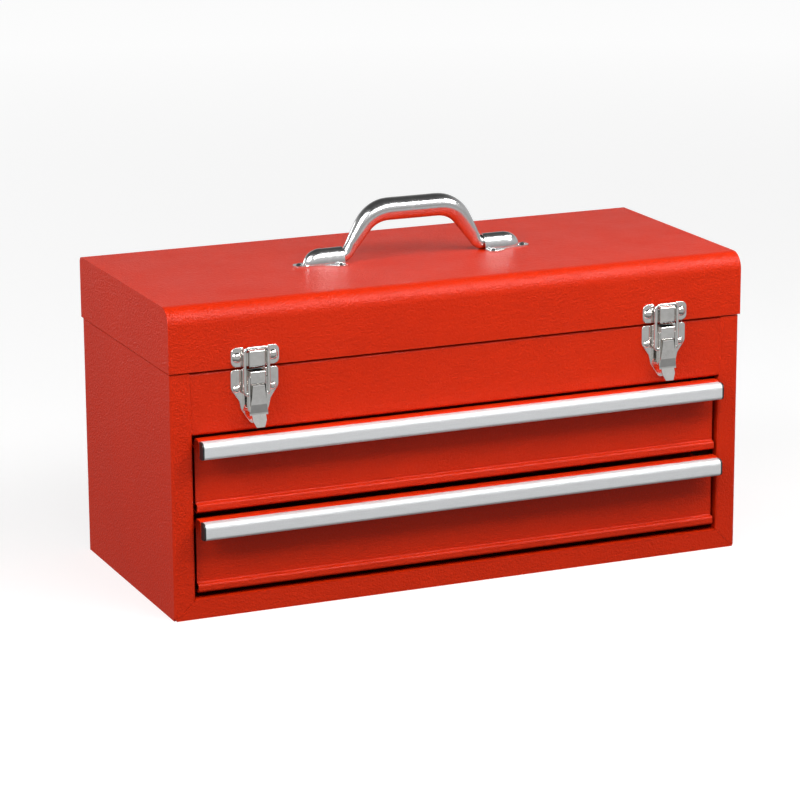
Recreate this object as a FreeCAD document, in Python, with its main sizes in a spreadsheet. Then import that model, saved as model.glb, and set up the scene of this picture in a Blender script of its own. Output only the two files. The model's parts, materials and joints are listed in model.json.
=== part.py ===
import FreeCAD, Part
import Sketcher
import math
import os
import re

# A portable steel tool chest: a two-drawer case, a hinged lid with a folding handle, two draw latches and a
# lift-out tray.  Millimetres, +Z up, +Y to the back.  The origin is the middle of the bottom face.

# ---------------------------------------------------------------------------------------------- sizes

SIZES = [
    # case
    ("case_width", 520.0, "outside width of the case"),
    ("case_depth", 224.0, "outside depth of the case"),
    ("case_height", 208.0, "bottom face to the rim under the lid"),
    ("gauge", 1.0, "thickness of the case and lid sheet"),
    ("corner_bend", 2.5, "outside bend radius of the case corners"),
    ("stile_width", 18.5, "width of the front posts"),
    ("stile_return", 8.0, "depth of the folded edge behind posts and rails"),
    ("rail_height", 17.0, "height of the bottom front rail"),
    ("panel_height", 52.5, "height of the fixed panel over the drawers"),
    ("panel_tuck", 12.0, "how far the fixed panel runs behind each post"),
    ("rim_width", 6.0, "width of the turned-in rim"),
    ("foot_chamfer", 2.5, "corner cut at the bottom of the posts"),
    ("mitre_gap", 0.3, "open seam between rail and post"),
    ("weld_flange", 9.0, "height of the floors' folded edges"),
    ("lay_gap", 0.1, "gap between sheets that are spot welded"),
    # lid
    ("lid_height", 53.4, "height of the lid from the seam up"),
    ("seam_gap", 1.2, "open seam between case and lid"),
    ("lid_overhang", 0.9, "how far the lid stands outside the case"),
    ("lid_front_bend", 14.0, "outside bend radius at the lid's front"),
    ("lid_back_bend", 5.0, "outside bend radius at the lid's back"),
    ("cap_flange", 9.0, "width of the end caps' turned-in edges"),
    # piano hinge
    ("hinge_length", 500.0, "length of the piano hinge"),
    ("hinge_leaf", 0.8, "thickness of a hinge leaf"),
    ("hinge_leaf_height", 13.0, "height of a leaf beyond the barrel"),
    ("barrel_radius", 3.0, "outside radius of the barrel"),
    ("hinge_pin_radius", 1.2, "radius of the hinge pin"),
    ("knuckle_count", 13.0, "number of knuckles along the barrel"),
    ("knuckle_gap", 0.3, "end play between two knuckles"),
    ("running_fit", 0.05, "radial clearance of a turning pin"),
    # drawers
    ("drawer_height", 63.5, "height of a drawer front"),
    ("drawer_pitch", 68.0, "distance between the two drawers"),
    ("drawer_floor_gap", 5.0, "gap between rail and lower drawer"),
    ("drawer_side_gap", 3.0, "gap between drawer front and post"),
    ("drawer_setback", 4.5, "drawer face behind the posts"),
    ("drawer_gauge", 1.0, "thickness of the drawer sheet"),
    ("lip_height", 7.5, "height of the rolled lip under a drawer front"),
    ("lip_reach", 4.0, "how far the rolled lip stands forward"),
    ("lip_bend", 2.4, "outside bend radius of the rolled lip"),
    ("nose_reach", 12.0, "how far the drawer's top edge stands forward"),
    ("nose_drop", 13.0, "height of the flange under the nose"),
    ("nose_bend", 4.0, "outside bend radius of the nose"),
    ("pan_back_gap", 13.5, "gap between a closed drawer's pan and the back"),
    ("pan_height", 54.0, "height of a drawer pan"),
    ("pan_side_gap", 5.5, "pan side inside the front's edge"),
    ("slide_flange", 7.3, "width of the pan's sliding flange"),
    ("slide_gap", 0.3, "play above and below the sliding flange"),
    ("runner_overlap", 3.5, "how far runner and flange overlap"),
    # drawer pulls
    ("pull_depth", 8.0, "depth of the drawer pull"),
    ("pull_height", 14.4, "height of the drawer pull"),
    ("pull_wall", 1.3, "wall of the pull extrusion"),
    ("pull_bend", 4.6, "outside bend radius along the pull's top"),
    ("pull_foot_bend", 3.0, "outside bend radius along the pull's foot"),
    ("pull_drop", 0.8, "pull's top edge below the nose"),
    ("pull_cap", 1.5, "thickness of the pull's end caps"),
    # top compartment and tray
    ("ledge_drop", 33.0, "tray ledges below the case rim"),
    ("ledge_width", 15.0, "width of a tray ledge"),
    ("ledge_inset", 10.0, "tray ledge shorter than the tray at each end"),
    ("ledge_height", 9.0, "height of the ledge's fixed leg"),
    ("tray_gap", 0.2, "gap between tray and ledges"),
    ("tray_side_gap", 2.0, "gap between tray and rim, each side"),
    ("tray_end_gap", 10.0, "gap between tray and rim, front and back"),
    ("tray_height", 30.0, "height of the tray"),
    ("tray_gauge", 0.8, "thickness of the tray sheet"),
    ("tray_hem", 2.4, "height of the tray's rolled hem"),
    ("tray_handle_length", 120.0, "length of the tray handle"),
    ("tray_handle_width", 18.0, "width of the tray handle strap"),
    ("tray_handle_height", 46.0, "height of the tray handle"),
    ("tray_handle_gauge", 1.5, "thickness of the tray handle strap"),
    ("tray_handle_foot", 14.0, "length of the strap's riveted feet"),
    ("tray_handle_bend", 8.0, "outside bend radius of the strap"),
    # carrying handle and brackets
    ("handle_setback", -4.0, "handle's pivot line ahead of the middle"),
    ("handle_rise", 36.8, "pivot line to the middle of the grip"),
    ("handle_radius", 9.75, "radius of the grip"),
    ("handle_wall", 1.5, "wall of the handle tube"),
    ("stub_radius", 5.5, "radius of the handle's turned ends"),
    ("stub_length", 19.0, "length of the handle's turned ends"),
    ("stub_gap", 0.3, "play around the handle's turned ends"),
    ("leg_angle", 57.0, "slope of the handle's legs"),
    ("leg_foot", 61.6, "legs' lower corner from the middle"),
    ("grip_bend", 28.0, "centre-line bend radius at the grip"),
    ("foot_bend", 7.0, "centre-line bend radius at the turned ends"),
    ("bracket_gauge", 1.2, "thickness of brackets and latch plates"),
    ("bracket_mouth", 65.5, "bracket's open end from the middle"),
    ("bracket_hump", 20.0, "length of the bracket's straight hump"),
    ("bracket_slope", 14.0, "length of the hump's sloping nose"),
    ("hump_spread", 1.6, "hump wider than the handle's end, each side"),
    ("hump_crown", 0.7, "hump's inside above the handle's end"),
    ("bracket_ear_reach", 5.0, "end ear beyond the hump's nose"),
    ("bracket_ear_side", 12.8, "side ears from the pivot line"),
    ("bracket_ear_inset", 5.2, "side ears behind the open end"),
    ("ear_radius", 5.0, "radius of a bracket ear"),
    ("ear_blend", 6.0, "fillet between the bracket's ears"),
    # latches
    ("latch_offset", 187.0, "latch centres from the middle"),
    ("latch_drop", 0.8, "latch base below the case rim"),
    ("latch_half", 20.8, "half width of a latch base"),
    ("latch_side", 16.0, "straight side of a latch base"),
    ("latch_waist_half", 13.9, "half width where the taper ends"),
    ("latch_waist", 26.0, "depth of the taper's end"),
    ("latch_neck_half", 12.2, "half width over the rounded tip"),
    ("latch_neck", 33.5, "depth of the rounded tip's start"),
    ("latch_length", 46.0, "height of a latch base"),
    ("latch_tip_half", 4.0, "half width of the flat at the tip"),
    ("plate_round", 0.6, "rounded edge of pressed plates"),
    ("bridge_half", 6.8, "half width of the latch bridge"),
    ("bridge_height", 11.2, "height of the latch bridge"),
    ("bridge_reach", 9.6, "bridge front ahead of the fixed panel"),
    ("bridge_top", 0.6, "bridge below the top of its plate"),
    ("pivot_drop", 7.7, "lever pivot below the top of the plate"),
    ("pivot_reach", 6.7, "lever pivot ahead of the fixed panel"),
    ("pivot_radius", 1.5, "radius of lever pin and bail wire"),
    ("bail_drop", 12.5, "bail pivot below the lever pivot"),
    ("over_centre", 0.6, "bail line behind the lever pivot"),
    ("bail_half", 10.3, "half spacing of the bail's legs"),
    ("bail_top_bend", 4.0, "centre-line radius of the bail's top"),
    ("bail_foot_bend", 2.2, "centre-line radius of the bail's feet"),
    ("bail_seat", 0.2, "bail's bar above the strike's ledge"),
    ("lever_half", 8.0, "half width of the lever"),
    ("lever_wall", 1.0, "thickness of the lever's sheet"),
    ("lever_ear", 2.8, "radius of the lever's ears"),
    ("lever_hump", 3.9, "hump ahead of the lever pivot"),
    ("lever_length", 28.5, "lever pivot to the start of the tab"),
    ("heel_depth", 2.2, "back of the lever's heel behind the hump"),
    ("tab_length", 10.5, "height of the finger tab"),
    ("tab_flare", 4.4, "how far the finger tab flares out"),
    ("tab_half", 6.0, "half width of the finger tab"),
    ("face_half", 4.9, "half width of the lever's face at its top"),
    ("strike_half", 21.0, "half width of a strike plate"),
    ("strike_height", 16.4, "height of a strike plate"),
    ("strike_lift", 0.5, "strike above the lid's lower edge"),
    ("strike_notch", 2.4, "depth of the strike's middle below its ears"),
    ("hook_half", 7.0, "half width of the strike's hook"),
    ("hook_reach", 6.7, "hook ahead of the lid's front"),
    ("hook_round", 1.4, "rounded edges of the hook"),
    # rivets
    ("rivet_shank", 1.6, "radius of a rivet's shank"),
    ("rivet_fit", 0.1, "radial clearance of a rivet's hole"),
    ("latch_rivet_head", 3.3, "head radius of the latch rivets"),
    ("strike_rivet_head", 4.3, "head radius of the strike rivets"),
    ("bracket_rivet_head", 2.9, "head radius of the bracket rivets"),
    ("head_rise", 0.55, "rivet head's height over its radius"),
    ("tail_radius", 2.6, "radius of a rivet's set tail"),
    ("tail_height", 1.2, "height of a rivet's set tail"),
    ("rivet_side", 15.6, "latch and strike rivets from the centre"),
    ("base_rivet_drop", 16.2, "latch rivets below the top of the plate"),
    ("strike_rivet_drop", 8.4, "strike rivets below the top of the ears"),
]

# Places worked out from the sizes.  Each becomes a cell of the second sheet.
PLACES = [
    ("half_width", "case_width / 2"),
    ("front", "-case_depth / 2"),
    ("back", "case_depth / 2"),
    ("post_edge", "half_width - stile_width"),
    ("bay_top", "case_height - panel_height"),
    ("seam", "case_height + seam_gap"),
    ("lid_half", "half_width + lid_overhang"),
    ("lid_front", "front - lid_overhang"),
    ("lid_back", "back + lid_overhang"),
    ("lid_top", "seam + lid_height"),
    ("hinge_y", "lid_back + barrel_radius + lay_gap"),
    ("hinge_z", "case_height + seam_gap / 2"),
    ("panel_face", "front + gauge"),
    ("face", "front + drawer_setback"),
    ("front_half", "post_edge - drawer_side_gap"),
    ("lower_drawer", "rail_height + drawer_floor_gap"),
    ("upper_drawer", "lower_drawer + drawer_pitch"),
    ("pan_half", "front_half - pan_side_gap"),
    ("slide_half", "pan_half + slide_flange"),
    ("pan_length", "back - gauge - pan_back_gap - face - drawer_gauge"),
    ("pull_back", "face - nose_reach"),
    ("pull_front", "pull_back - pull_depth"),
    ("floor_z", "bay_top + gauge"),
    ("ledge_z", "case_height - ledge_drop"),
    ("tray_half", "half_width - gauge - rim_width - tray_side_gap"),
    ("tray_z", "ledge_z + tray_gap"),
    ("tray_depth", "case_depth - 2 * (gauge + rim_width + tray_end_gap)"),
    ("ledge_length", "tray_depth - 2 * ledge_inset"),
    ("handle_z", "lid_top + stub_radius + 2 * stub_gap"),
    ("bracket_end", "bracket_mouth + bracket_hump + bracket_slope + bracket_ear_reach"),
    ("bracket_ear", "bracket_mouth + bracket_ear_inset"),
    ("plate_top", "case_height - latch_drop"),
    ("pivot_y", "panel_face - pivot_reach"),
    ("pivot_z", "plate_top - pivot_drop"),
    ("bail_y", "pivot_y + over_centre"),
    ("bail_z", "pivot_z - bail_drop"),
    ("strike_z", "seam + strike_lift"),
    ("strike_top", "strike_z + strike_height"),
    ("hook_top", "strike_top - strike_notch"),
    ("bar_z", "hook_top + bail_seat + pivot_radius"),
]

doc = FreeCAD.newDocument("toolbox")
dims = doc.addObject("Spreadsheet::Sheet", "dims")
places = doc.addObject("Spreadsheet::Sheet", "places")
# sections lofted along each straight or bent run of the handle
RINGS_PER_RUN = 6
SIZE_NAMES = [name for name, _, _ in SIZES]
PLACE_NAMES = [name for name, _ in PLACES]


def bound(text, local=""):
    """Point each word of an expression at the sheet that holds it."""
    def sheet_word(match):
        word = match.group(0)
        if word in SIZE_NAMES:
            return "dims." + word
        if word in PLACE_NAMES and local != "places":
            return "places." + word
        return word
    return re.sub(r"[a-z][a-z_0-9]*", sheet_word, text)


def fill_sheets():
    for row, (name, number, note) in enumerate(SIZES, start=1):
        dims.set(f"A{row}", name)
        dims.set(f"B{row}", str(number))
        dims.set(f"C{row}", note)
        dims.setAlias(f"B{row}", name)
    doc.recompute()
    for row, (name, formula) in enumerate(PLACES, start=1):
        places.set(f"A{row}", name)
        places.set(f"B{row}", "=" + bound(formula, "places"))
        places.setAlias(f"B{row}", name)
        doc.recompute()


def size(name):
    """The number in one cell of either sheet."""
    return float(getattr(dims if name in SIZE_NAMES else places, name))


def bind(thing, prop, text):
    thing.setExpression(prop, bound(text))


# ---------------------------------------------------------------------------------- building features

def new_body(label):
    body = doc.addObject("PartDesign::Body", label)
    body.Label = label
    return body


def new_sketch(body, role, offset="0"):
    """A sketch on one of the body's own origin planes, moved along the plane's normal."""
    sketch = body.newObject("Sketcher::SketchObject", body.Name + "_sketch")
    plane = next(part for part in body.Origin.OriginFeatures if part.Role == role)
    sketch.AttachmentSupport = [(plane, "")]
    sketch.MapMode = "FlatFace"
    bind(sketch, "AttachmentOffset.Base.z", offset)
    return sketch


def outline(sketch, points):
    """A closed outline; every corner is held from the sketch's origin by the sheet."""
    first = sketch.GeometryCount
    count = len(points)
    ring = [(math.cos(2 * math.pi * i / count), math.sin(2 * math.pi * i / count)) for i in range(count)]
    for i in range(count):
        start = FreeCAD.Vector(*ring[i], 0)
        end = FreeCAD.Vector(*ring[(i + 1) % count], 0)
        sketch.addGeometry(Part.LineSegment(start, end))
    for i in range(count):
        sketch.addConstraint(Sketcher.Constraint("Coincident", first + i, 2, first + (i + 1) % count, 1))
    for i, point in enumerate(points):
        for kind, text, place in (("DistanceX", point[0], ring[i][0]), ("DistanceY", point[1], ring[i][1])):
            number = sketch.addConstraint(Sketcher.Constraint(kind, -1, 1, first + i, 1, place))
            bind(sketch, f"Constraints[{number}]", text)


def circle(sketch, across, up, radius):
    index = sketch.addGeometry(Part.Circle(FreeCAD.Vector(0, 0, 0), FreeCAD.Vector(0, 0, 1), 1.0))
    for kind, text in (("DistanceX", across), ("DistanceY", up)):
        number = sketch.addConstraint(Sketcher.Constraint(kind, -1, 1, index, 3, 0.0))
        bind(sketch, f"Constraints[{number}]", text)
    number = sketch.addConstraint(Sketcher.Constraint("Radius", index, 1.0))
    bind(sketch, f"Constraints[{number}]", radius)


def extrude(body, kind, sketch, length, symmetric=False, reversed_way=False):
    """A Pad or a Pocket; its effect on the volume is checked."""
    before = body.Shape.Volume if body.Tip else 0.0
    feature = body.newObject("PartDesign::" + kind, body.Name + "_" + kind.lower())
    feature.Profile = sketch
    bind(feature, "Length", length)
    feature.SideType = "Symmetric" if symmetric else "One side"
    feature.Reversed = reversed_way
    doc.recompute()
    change = body.Shape.Volume - before
    if (change > 0) != (kind == "Pad") or abs(change) < 1e-6:
        raise RuntimeError(f"{feature.Name} changed the volume by {change:.4f}")
    return feature


def bend_corners(body, feature, sketch, points):
    """Round the long edges that run through an outline's corners, one Fillet for each radius."""
    normal = sketch.Placement.Rotation.multVec(FreeCAD.Vector(0, 0, 1))
    corners = {}
    for i, point in enumerate(points):
        if len(point) == 3:
            spot = sketch.Placement.multVec(sketch.Geometry[i].StartPoint)
            corners.setdefault(point[2], []).append(spot)
    for radius, spots in corners.items():
        names = []
        for number, edge in enumerate(feature.Shape.Edges, start=1):
            straight = isinstance(edge.Curve, Part.Line)
            if not straight or edge.tangentAt(edge.FirstParameter).cross(normal).Length > 1e-6:
                continue
            middle = edge.CenterOfMass
            if any((middle - spot).cross(normal).Length < 1e-5 for spot in spots):
                names.append(f"Edge{number}")
        feature = round_edges(body, feature, names, radius)
    return feature


def round_edges(body, feature, names, radius):
    if not names:
        raise RuntimeError(f"no edge to round on {body.Label}")
    fillet = body.newObject("PartDesign::Fillet", body.Name + "_fillet")
    fillet.Base = (feature, names)
    bind(fillet, "Radius", radius)
    doc.recompute()
    return fillet


def folded(label, role, points, length, offset="0", symmetric=True, reversed_way=False):
    """A piece of constant section: an outline, padded, with its bends rounded."""
    body = new_body(label)
    sketch = new_sketch(body, role, offset)
    outline(sketch, points)
    doc.recompute()
    pad = extrude(body, "Pad", sketch, length, symmetric, reversed_way)
    bend_corners(body, pad, sketch, points)
    return body


def cut_outline(body, role, points, length, offset="0", symmetric=True, reversed_way=False):
    sketch = new_sketch(body, role, offset)
    outline(sketch, points)
    doc.recompute()
    pocket = extrude(body, "Pocket", sketch, length, symmetric, reversed_way)
    return bend_corners(body, pocket, sketch, points)


def add_outline(body, role, points, length, offset="0", symmetric=True, reversed_way=False):
    sketch = new_sketch(body, role, offset)
    outline(sketch, points)
    doc.recompute()
    pad = extrude(body, "Pad", sketch, length, symmetric, reversed_way)
    return bend_corners(body, pad, sketch, points)


def drill(body, role, holes, length, offset="0", symmetric=True):
    """Round holes; each is (across, up, radius) in the plane's own axes."""
    sketch = new_sketch(body, role, offset)
    for across, up, radius in holes:
        circle(sketch, across, up, radius)
    doc.recompute()
    return extrude(body, "Pocket", sketch, length, symmetric)


def rectangle(left, right, low, high, radius=None):
    corners = [(left, low), (right, low), (right, high), (left, high)]
    return [corner + (radius,) for corner in corners] if radius else corners


def clear_of_bends(side, low, high):
    """Rectangle about the middle with its corners cut off, to clear the bends of the walls round it."""
    half = [
        (f"{side} - corner_bend", low),
        (side, f"{low} + corner_bend"),
        (side, f"{high} - corner_bend"),
        (f"{side} - corner_bend", high),
    ]
    return half + [(f"-({x})", y) for x, y in reversed(half)]


def subtract(label, base, tool):
    cut = doc.addObject("Part::Cut", label)
    cut.Label = label
    cut.Base = base
    cut.Tool = tool
    doc.recompute()
    return cut


def place(thing, axis, text):
    bind(thing, f"Placement.Base.{axis}", text)


def sharp_front_edges(feature, front_y):
    """Edges that lie wholly in one plane of constant y."""
    names = []
    for number, edge in enumerate(feature.Shape.Edges, start=1):
        box = edge.BoundBox
        if abs(box.YMin - front_y) < 1e-5 and abs(box.YMax - front_y) < 1e-5:
            names.append(f"Edge{number}")
    return names


# ------------------------------------------------------------------------------------------------ case

def case_wrap():
    """Sides, back and front posts, bent from one sheet."""
    half = [
        ("post_edge", "front + stile_return", None),
        ("post_edge", "front", "corner_bend"),
        ("half_width", "front", "corner_bend"),
        ("half_width", "back", "corner_bend"),
    ]
    inner = [
        ("half_width - gauge", "back - gauge", "corner_bend - gauge"),
        ("half_width - gauge", "front + gauge", "corner_bend - gauge"),
        ("post_edge + gauge", "front + gauge", "corner_bend - gauge"),
        ("post_edge + gauge", "front + stile_return", None),
    ]
    mirrored = [(f"-({x})", y, r) for x, y, r in reversed(half)]
    mirrored_inner = [(f"-({x})", y, r) for x, y, r in reversed(inner)]
    points = [corner if corner[2] else corner[:2] for corner in half + mirrored + mirrored_inner + inner]
    body = folded("case_wrap", "XY_Plane", points, "case_height", symmetric=False)
    # turned-in rim along both sides and the back
    rim_half = [
        ("post_edge", "panel_face + gauge"),
        ("half_width - gauge / 2", "panel_face + gauge"),
        ("half_width - gauge / 2", "back - gauge / 2"),
        ("-half_width + gauge / 2", "back - gauge / 2"),
        ("-half_width + gauge / 2", "panel_face + gauge"),
        ("-post_edge", "panel_face + gauge"),
        ("-post_edge", "panel_face + gauge + rim_width"),
        ("-half_width + gauge + rim_width", "panel_face + gauge + rim_width"),
        ("-half_width + gauge + rim_width", "back - gauge - rim_width"),
        ("half_width - gauge - rim_width", "back - gauge - rim_width"),
        ("half_width - gauge - rim_width", "panel_face + gauge + rim_width"),
        ("post_edge", "panel_face + gauge + rim_width"),
    ]
    # the posts' returns stop under the fixed panel, which runs behind them
    for way in ("", "-"):
        notch = [
            (f"{way}(post_edge - gauge)", "panel_face"),
            (f"{way}(post_edge + panel_tuck + gauge)", "panel_face"),
            (f"{way}(post_edge + panel_tuck + gauge)", "front + stile_return + gauge"),
            (f"{way}(post_edge - gauge)", "front + stile_return + gauge"),
        ]
        cut_outline(body, "XY_Plane", notch, "case_height", "bay_top - gauge", False, True)
    add_outline(body, "XY_Plane", rim_half, "gauge", "case_height - gauge", False)
    # mitre under each post, where the bottom rail meets it
    for way in ("", "-"):
        mitre = [
            (f"{way}(post_edge - gauge)", "rail_height + mitre_gap + gauge"),
            (f"{way}(post_edge + rail_height + mitre_gap)", "0"),
            (f"{way}(post_edge + rail_height + mitre_gap)", "-gauge"),
            (f"{way}(post_edge - gauge)", "-gauge"),
        ]
        cut_outline(body, "XZ_Plane", mitre, "stile_return + 2 * gauge",
                    "-front - stile_return - gauge", False, True)
        foot = [
            (f"{way}(half_width - foot_chamfer)", "0"),
            (f"{way}half_width", "foot_chamfer"),
            (f"{way}(half_width + gauge)", "foot_chamfer"),
            (f"{way}(half_width + gauge)", "-gauge"),
            (f"{way}(half_width - foot_chamfer)", "-gauge"),
        ]
        cut_outline(body, "XZ_Plane", foot, "foot_chamfer", "-front - foot_chamfer", False, True)
    return body


def bottom_pan():
    """Floor, turned-up edges and the mitred front rail."""
    rail = [
        ("-(post_edge + rail_height)", "0"),
        ("post_edge + rail_height", "0"),
        ("post_edge", "rail_height"),
        ("-post_edge", "rail_height"),
    ]
    body = folded("bottom_pan", "XZ_Plane", rail, "gauge", "-front - gauge", False)
    floor = clear_of_bends("half_width - gauge - lay_gap", "front + gauge", "back - gauge - lay_gap")
    add_outline(body, "XY_Plane", floor, "gauge", "0", False)
    returned = rectangle("front + gauge / 2", "front + stile_return", "rail_height - gauge", "rail_height")
    add_outline(body, "YZ_Plane", returned, "2 * post_edge - 2 * lay_gap")
    edge = rectangle("back - 2 * gauge - lay_gap", "back - gauge - lay_gap", "gauge / 2", "weld_flange")
    add_outline(body, "YZ_Plane", edge, "2 * (half_width - gauge - corner_bend)")
    for way in ("", "-"):
        side = rectangle(f"{way}(half_width - 2 * gauge - lay_gap)", f"{way}(half_width - gauge - lay_gap)",
                         "gauge / 2", "weld_flange")
        add_outline(body, "XZ_Plane", side, "case_depth - 4 * gauge - stile_return",
                    "-back + gauge + corner_bend", False)
    return body


def front_panel():
    """Fixed panel over the drawers, folded back along its top and bottom."""
    section = [
        ("panel_face", "bay_top", "corner_bend"),
        ("panel_face", "case_height", "corner_bend"),
        ("panel_face + rim_width", "case_height"),
        ("panel_face + rim_width", "case_height - gauge"),
        ("panel_face + gauge", "case_height - gauge", "corner_bend - gauge"),
        ("panel_face + gauge", "bay_top + gauge", "corner_bend - gauge"),
        ("panel_face + stile_return", "bay_top + gauge"),
        ("panel_face + stile_return", "bay_top"),
    ]
    body = folded("front_panel", "YZ_Plane", section, "2 * (post_edge + panel_tuck)")
    # the turned-in rim of the panel stops between the posts
    for way in ("", "-"):
        corner = [
            (f"{way}(post_edge - lay_gap)", "panel_face + gauge"),
            (f"{way}(half_width)", "panel_face + gauge"),
            (f"{way}(half_width)", "panel_face + 2 * stile_return"),
            (f"{way}(post_edge - lay_gap)", "panel_face + 2 * stile_return"),
        ]
        cut_outline(body, "XY_Plane", corner, "4 * gauge", "case_height - 2 * gauge", False, True)
        holes = [(f"{way}latch_offset + {ear} * rivet_side", "plate_top - base_rivet_drop",
                  "rivet_shank + rivet_fit") for ear in (-1, 1)]
        drill(body, "XZ_Plane", holes, "4 * gauge", "-panel_face")
    return body


def compartment_floor():
    """Shelf between the drawers and the top compartment; its edges turn down, so that its top is flat."""
    floor = clear_of_bends("half_width - gauge - lay_gap", "panel_face + corner_bend",
                           "back - gauge - lay_gap")
    body = folded("compartment_floor", "XY_Plane", floor, "gauge", "floor_z", False)
    edge = rectangle("back - 2 * gauge - lay_gap", "back - gauge - lay_gap",
                     "floor_z + gauge - weld_flange", "floor_z + gauge / 2")
    add_outline(body, "YZ_Plane", edge, "2 * (half_width - gauge - corner_bend)")
    for way in ("", "-"):
        side = rectangle(f"{way}(half_width - 2 * gauge - lay_gap)", f"{way}(half_width - gauge - lay_gap)",
                         "floor_z + gauge - weld_flange", "floor_z + gauge / 2")
        add_outline(body, "XZ_Plane", side, "case_depth - 4 * gauge - stile_return",
                    "-back + gauge + corner_bend", False)
    return body


def tray_ledge(name, side):
    """Angle strip on one end wall that carries the tray."""
    wall = f"{side} * (half_width - gauge - lay_gap)"
    inner = f"{side} * (half_width - 2 * gauge - lay_gap)"
    tip = f"{side} * (half_width - gauge - ledge_width)"
    section = [
        (wall, "ledge_z - ledge_height"),
        (wall, "ledge_z", "corner_bend"),
        (tip, "ledge_z"),
        (tip, "ledge_z - gauge"),
        (inner, "ledge_z - gauge", "corner_bend - gauge"),
        (inner, "ledge_z - ledge_height"),
    ]
    return folded(name, "XZ_Plane", section, "ledge_length")


def drawer_runner(name, side, drawer):
    """Channel on one end wall; the drawer's flange slides between its shelves."""
    wall = f"{side} * (half_width - gauge - lay_gap)"
    inner = f"{side} * (half_width - 2 * gauge - lay_gap)"
    tip = f"{side} * (slide_half - runner_overlap)"
    low = f"{drawer} + pan_height - slide_gap"
    high = f"{drawer} + drawer_gauge + pan_height + slide_gap"
    section = [
        (wall, f"{low} - gauge", "gauge + slide_gap"),
        (wall, f"{high} + gauge", "gauge + slide_gap"),
        (tip, f"{high} + gauge"),
        (tip, high),
        (inner, high, "slide_gap"),
        (inner, low, "slide_gap"),
        (tip, low),
        (tip, f"{low} - gauge"),
    ]
    length = "case_depth - 2 * stile_return - 4 * gauge"
    return folded(name, "XZ_Plane", section, length, "-back + 3 * gauge", False)


# ----------------------------------------------------------------------------------------------- hinge

def hinge_leaf(name, lid):
    """One leaf of the piano hinge with every second knuckle."""
    body = new_body(name)
    skin = "lid_back" if lid else "back"
    way = 1 if lid else -1
    near = f"hinge_z + {way} * (barrel_radius - hinge_leaf)"
    far = f"hinge_z + {way} * (barrel_radius + hinge_leaf_height)"
    sketch = new_sketch(body, "YZ_Plane")
    plate = rectangle(skin, f"{skin} + hinge_leaf", near, far)
    outline(sketch, plate)
    doc.recompute()
    extrude(body, "Pad", sketch, "hinge_length", True)
    pitch = "hinge_length / knuckle_count"
    first = 1 if lid else 0
    start = f"-hinge_length / 2 + {first} * {pitch} + knuckle_gap / 2"
    web = rectangle(f"{skin} + hinge_leaf / 2", "hinge_y",
                    near, f"hinge_z + {way} * barrel_radius")
    web_sketch = new_sketch(body, "YZ_Plane", start)
    outline(web_sketch, web)
    doc.recompute()
    web_pad = extrude(body, "Pad", web_sketch, f"{pitch} - knuckle_gap")
    ring_sketch = new_sketch(body, "YZ_Plane", start)
    circle(ring_sketch, "hinge_y", "hinge_z", "barrel_radius")
    doc.recompute()
    ring_pad = extrude(body, "Pad", ring_sketch, f"{pitch} - knuckle_gap")
    pattern = body.newObject("PartDesign::LinearPattern", name + "_knuckles")
    pattern.Originals = [web_pad, ring_pad]
    pattern.Direction = (new_sketch(body, "YZ_Plane"), ["N_Axis"])
    steps = "floor(knuckle_count / 2)" if not lid else "floor(knuckle_count / 2) - 1"
    bind(pattern, "Length", f"2 * {pitch} * ({steps})")
    bind(pattern, "Occurrences", f"{steps} + 1")
    body.Tip = pattern
    doc.recompute()
    drill(body, "YZ_Plane", [("hinge_y", "hinge_z", "hinge_pin_radius + running_fit")], "2 * hinge_length")
    return body


def hinge_pin():
    body = new_body("hinge_pin")
    sketch = new_sketch(body, "YZ_Plane")
    circle(sketch, "hinge_y", "hinge_z", "hinge_pin_radius")
    doc.recompute()
    extrude(body, "Pad", sketch, "hinge_length", True)
    return body


# ------------------------------------------------------------------------------------------------- lid

def lid_wrap():
    """Front, top and back of the lid, bent from one sheet."""
    section = [
        ("lid_front", "seam"),
        ("lid_front", "lid_top", "lid_front_bend"),
        ("lid_back", "lid_top", "lid_back_bend"),
        ("lid_back", "seam"),
        ("lid_back - gauge", "seam"),
        ("lid_back - gauge", "lid_top - gauge", "lid_back_bend - gauge"),
        ("lid_front + gauge", "lid_top - gauge", "lid_front_bend - gauge"),
        ("lid_front + gauge", "seam"),
    ]
    body = folded("lid_wrap", "YZ_Plane", section, "2 * lid_half")
    for way in ("", "-"):
        spots = [
            (f"{way}bracket_end", "handle_setback"),
            (f"{way}bracket_ear", "handle_setback + bracket_ear_side"),
            (f"{way}bracket_ear", "handle_setback - bracket_ear_side"),
        ]
        holes = [(x, y, "rivet_shank + rivet_fit") for x, y in spots]
        drill(body, "XY_Plane", holes, "4 * gauge", "lid_top")
        holes = [(f"{way}latch_offset + {ear} * rivet_side", "strike_top - strike_rivet_drop",
                  "rivet_shank + rivet_fit") for ear in (-1, 1)]
        drill(body, "XZ_Plane", holes, "4 * gauge", "-lid_front")
    return body


def lid_section(inset):
    """Inside outline of the lid wrap, moved in by the given amount."""
    return [
        (f"lid_front + gauge + {inset}", "seam"),
        (f"lid_front + gauge + {inset}", f"lid_top - gauge - {inset}", f"lid_front_bend - gauge - {inset}"),
        (f"lid_back - gauge - {inset}", f"lid_top - gauge - {inset}", f"lid_back_bend - gauge - {inset}"),
        (f"lid_back - gauge - {inset}", "seam"),
    ]


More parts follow.
